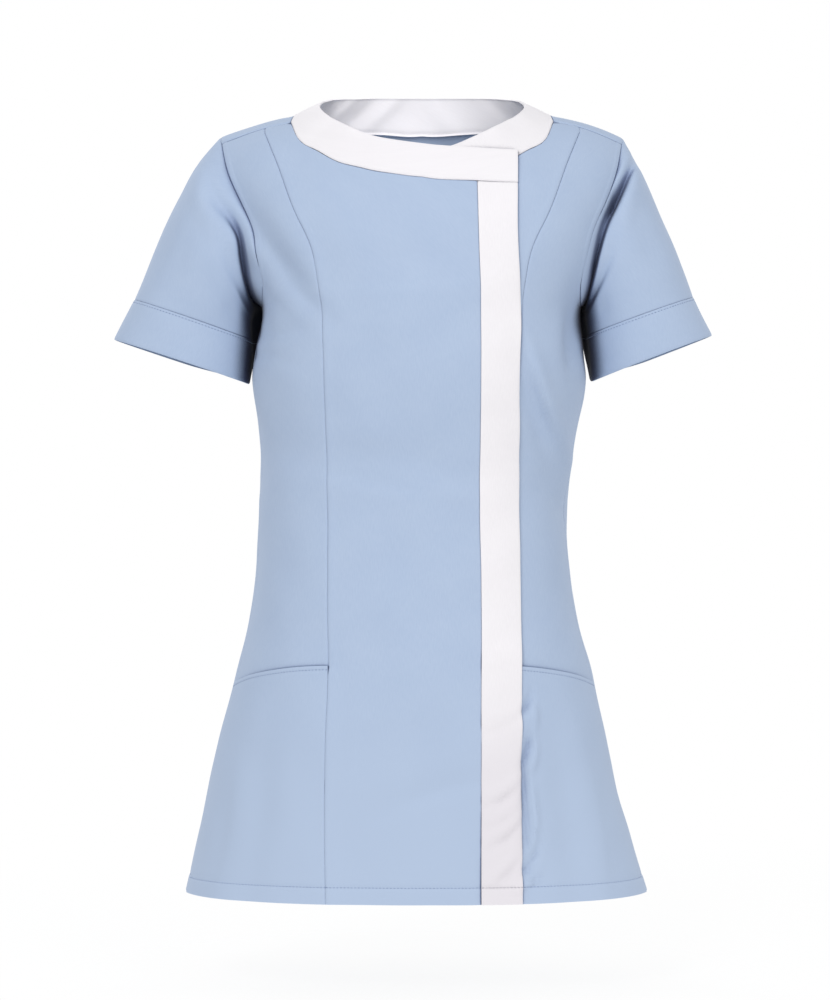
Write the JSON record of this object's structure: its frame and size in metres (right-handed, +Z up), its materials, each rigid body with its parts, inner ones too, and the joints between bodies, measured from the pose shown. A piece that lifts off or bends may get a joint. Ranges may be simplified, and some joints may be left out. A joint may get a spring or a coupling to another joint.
{
  "type": "medical tunic",
  "caption": "Short-sleeved crossover work tunic filled out as if worn, with a contrast neckband and placket band, princess seams and side pockets.",
  "frame": {"origin": "midway between the two points where the shoulder seams meet the neckband, where a wearer or a hanger holds the tunic up", "axes": "+Z up, from hem to neck; +Y from the front to the back; +X to the wearer's left"},
  "size_m": [0.5553, 0.2626, 0.7411],
  "materials": {
    "body_cloth": "pale blue twill, matt",
    "band_cloth": "white twill, matt"
  },
  "bodies": {
    "root": {"front_over": "body_cloth", "front_under": "body_cloth", "side_front_right": "body_cloth", "side_front_left": "body_cloth", "back": "body_cloth", "pocket_right": "body_cloth", "pocket_left": "body_cloth", "sleeve_right": "body_cloth", "sleeve_left": "body_cloth", "cuff_right": "body_cloth", "cuff_left": "body_cloth", "neckband": "band_cloth", "placket_band": "band_cloth"}
  },
  "joints": []
}
